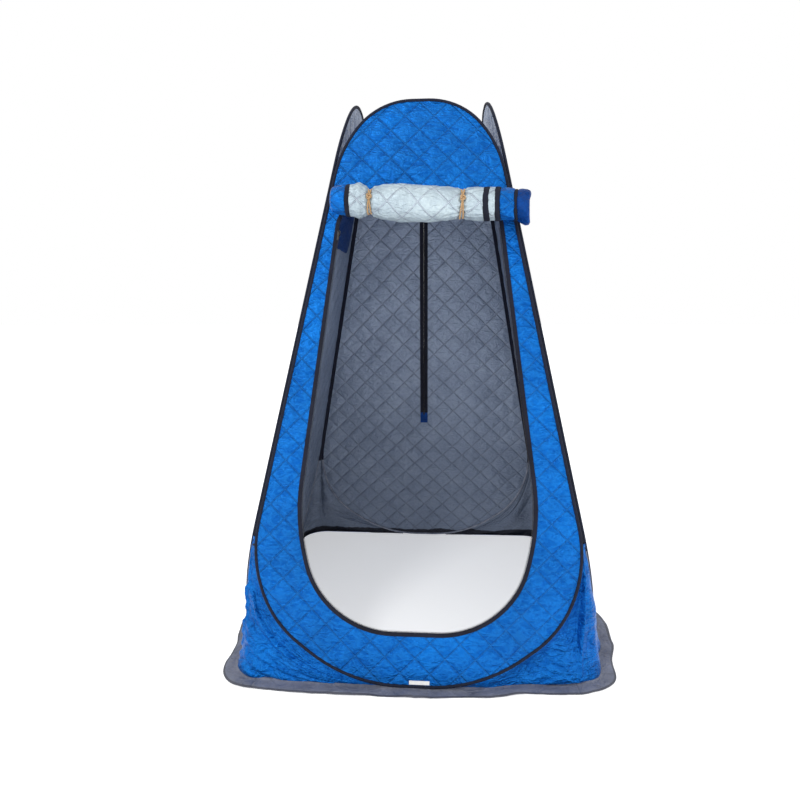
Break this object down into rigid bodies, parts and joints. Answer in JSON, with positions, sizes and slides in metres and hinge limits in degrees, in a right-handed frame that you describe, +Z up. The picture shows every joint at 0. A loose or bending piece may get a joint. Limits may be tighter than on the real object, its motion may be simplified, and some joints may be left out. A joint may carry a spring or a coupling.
{
  "type": "portable steam sauna",
  "caption": "Pop-up steam cabin of quilted insulated walls on spring-steel hoops, folding flat about its corner seams, with a rolled-up zip door and a floor skirt",
  "frame": {"origin": "centre of the footprint, on the floor", "axes": "+Z up, front with the doorway towards -Y, +X to the right seen from the front"},
  "size_m": [1.35, 1.35, 1.8853],
  "materials": {
    "quilt_outer": "quilted blue shell cloth with a slight gloss",
    "gusset_cloth": "unquilted shiny blue shell cloth",
    "lining": "quilted silver-coated inner cloth",
    "binding": "navy-black hem sleeve and seam tape",
    "skirt_cloth": "grey coated cloth",
    "spring_steel": "spring steel wire and crimped joint",
    "zip_tape": "black woven tape",
    "zip_teeth": "black nylon coil",
    "zip_metal": "black enamelled die-cast metal",
    "tie_cord": "tan twisted cord",
    "unlined_cloth": "thin unlined dark blue cloth",
    "label": "blank white woven label"
  },
  "bodies": {
    "rear_wall": {"rear_hoop": "spring_steel", "rear_hoop_ferrule": "spring_steel", "rear_hoop_sleeve": "binding", "rear_left_gusset": "gusset_cloth", "rear_left_seam_piping": "binding", "rear_left_skirt_corner": "skirt_cloth", "rear_lining": "lining", "rear_quilt": "quilt_outer", "rear_right_gusset": "gusset_cloth", "rear_right_seam_piping": "binding", "rear_right_skirt_corner": "skirt_cloth", "rear_roof_gore": "gusset_cloth", "rear_skirt": "skirt_cloth", "rear_zip_patch": "unlined_cloth", "rear_zip_tape": "zip_tape", "rear_zip_teeth": "zip_teeth"},
    "left_wall": {"front_left_gusset": "gusset_cloth", "front_left_seam_piping": "binding", "front_left_skirt_corner": "skirt_cloth", "left_hoop": "spring_steel", "left_hoop_ferrule": "spring_steel", "left_hoop_sleeve": "binding", "left_lining": "lining", "left_quilt": "quilt_outer", "left_roof_gore": "gusset_cloth", "left_skirt": "skirt_cloth", "left_vent_cloth": "unlined_cloth"},
    "right_wall": {"right_gusset_front": "gusset_cloth", "right_hoop": "spring_steel", "right_hoop_ferrule": "spring_steel", "right_hoop_sleeve": "binding", "right_lining": "lining", "right_quilt": "quilt_outer", "right_roof_gore": "gusset_cloth", "right_skirt": "skirt_cloth", "right_skirt_corner": "skirt_cloth"},
    "front_wall": {"door_roll": "lining", "door_roll_left_end": "quilt_outer", "door_roll_left_tape": "zip_tape", "door_roll_right_end": "quilt_outer", "door_roll_right_tapes": "zip_tape", "door_tie_left": "tie_cord", "door_tie_right": "tie_cord", "door_zip_tape": "zip_tape", "door_zip_teeth": "zip_teeth", "front_gusset_right": "gusset_cloth", "front_hoop": "spring_steel", "front_hoop_ferrule": "spring_steel", "front_hoop_sleeve": "binding", "front_label": "label", "front_lining": "lining", "front_quilt": "quilt_outer", "front_right_seam_piping": "binding", "front_roof_gore": "gusset_cloth", "front_skirt": "skirt_cloth", "front_skirt_corner": "skirt_cloth"},
    "door_zip_slider": {"door_zip_slider": "zip_metal"},
    "door_zip_pull": {"door_zip_pull": "zip_metal"},
    "rear_zip_slider": {"rear_zip_slider": "zip_metal"},
    "rear_zip_pull": {"rear_zip_pull": "zip_metal"}
  },
  "joints": [
    {"name": "left_fold", "type": "hinge", "parent": "rear_wall", "child": "left_wall", "pos_m": [-0.6097, 0.6097, 0], "axis": [0.1983, -0.1983, 0.9599], "range_deg": [0, 80], "stiffness_Nm_per_rad": 6, "springref_deg": -34.38, "deforming": ["rear_left_gusset", "rear_left_skirt_corner", "rear_left_seam_piping", "left_roof_gore", "rear_roof_gore"]},
    {"name": "right_fold", "type": "hinge", "parent": "rear_wall", "child": "right_wall", "pos_m": [0.6097, 0.6097, 0], "axis": [-0.1983, -0.1983, 0.9599], "range_deg": [0, 80], "stiffness_Nm_per_rad": 6, "springref_deg": -34.38, "deforming": ["rear_right_gusset", "rear_right_skirt_corner", "rear_right_seam_piping", "right_gusset_front", "right_skirt_corner", "right_roof_gore"]},
    {"name": "front_fold", "type": "hinge", "parent": "left_wall", "child": "front_wall", "pos_m": [-0.6097, -0.6097, 0], "axis": [0.1983, 0.1983, 0.9599], "range_deg": [-80, 0], "stiffness_Nm_per_rad": 6, "springref_deg": 34.38, "deforming": ["front_left_gusset", "front_left_skirt_corner", "front_left_seam_piping", "front_gusset_right", "front_skirt_corner", "front_right_seam_piping", "front_roof_gore"]},
    {"name": "door_zip_slide", "type": "slide", "parent": "front_wall", "child": "door_zip_slider", "axis": [-0.1228, -0.2007, -0.9719], "range_m": [0, 0.78]},
    {"name": "door_pull_swing", "type": "hinge", "parent": "door_zip_slider", "child": "door_zip_pull", "pos_m": [-0.25863, -0.3326, 1.41175], "axis": [-0.9924, 0.0248, 0.1202], "range_deg": [0, 110]},
    {"name": "rear_zip_slide", "type": "slide", "parent": "rear_wall", "child": "rear_zip_slider", "axis": [0, -0.2023, 0.9793], "range_m": [0, 0.9]},
    {"name": "rear_pull_swing", "type": "hinge", "parent": "rear_zip_slider", "child": "rear_zip_pull", "pos_m": [0, 0.45933, 0.69385], "axis": [-1, 0, 0], "range_deg": [0, 110]}
  ],
  "couplings": [
    {"joint": "right_fold", "follows": "left_fold", "ratio": 0.98},
    {"joint": "front_fold", "follows": "left_fold", "ratio": -0.98}
  ]
}
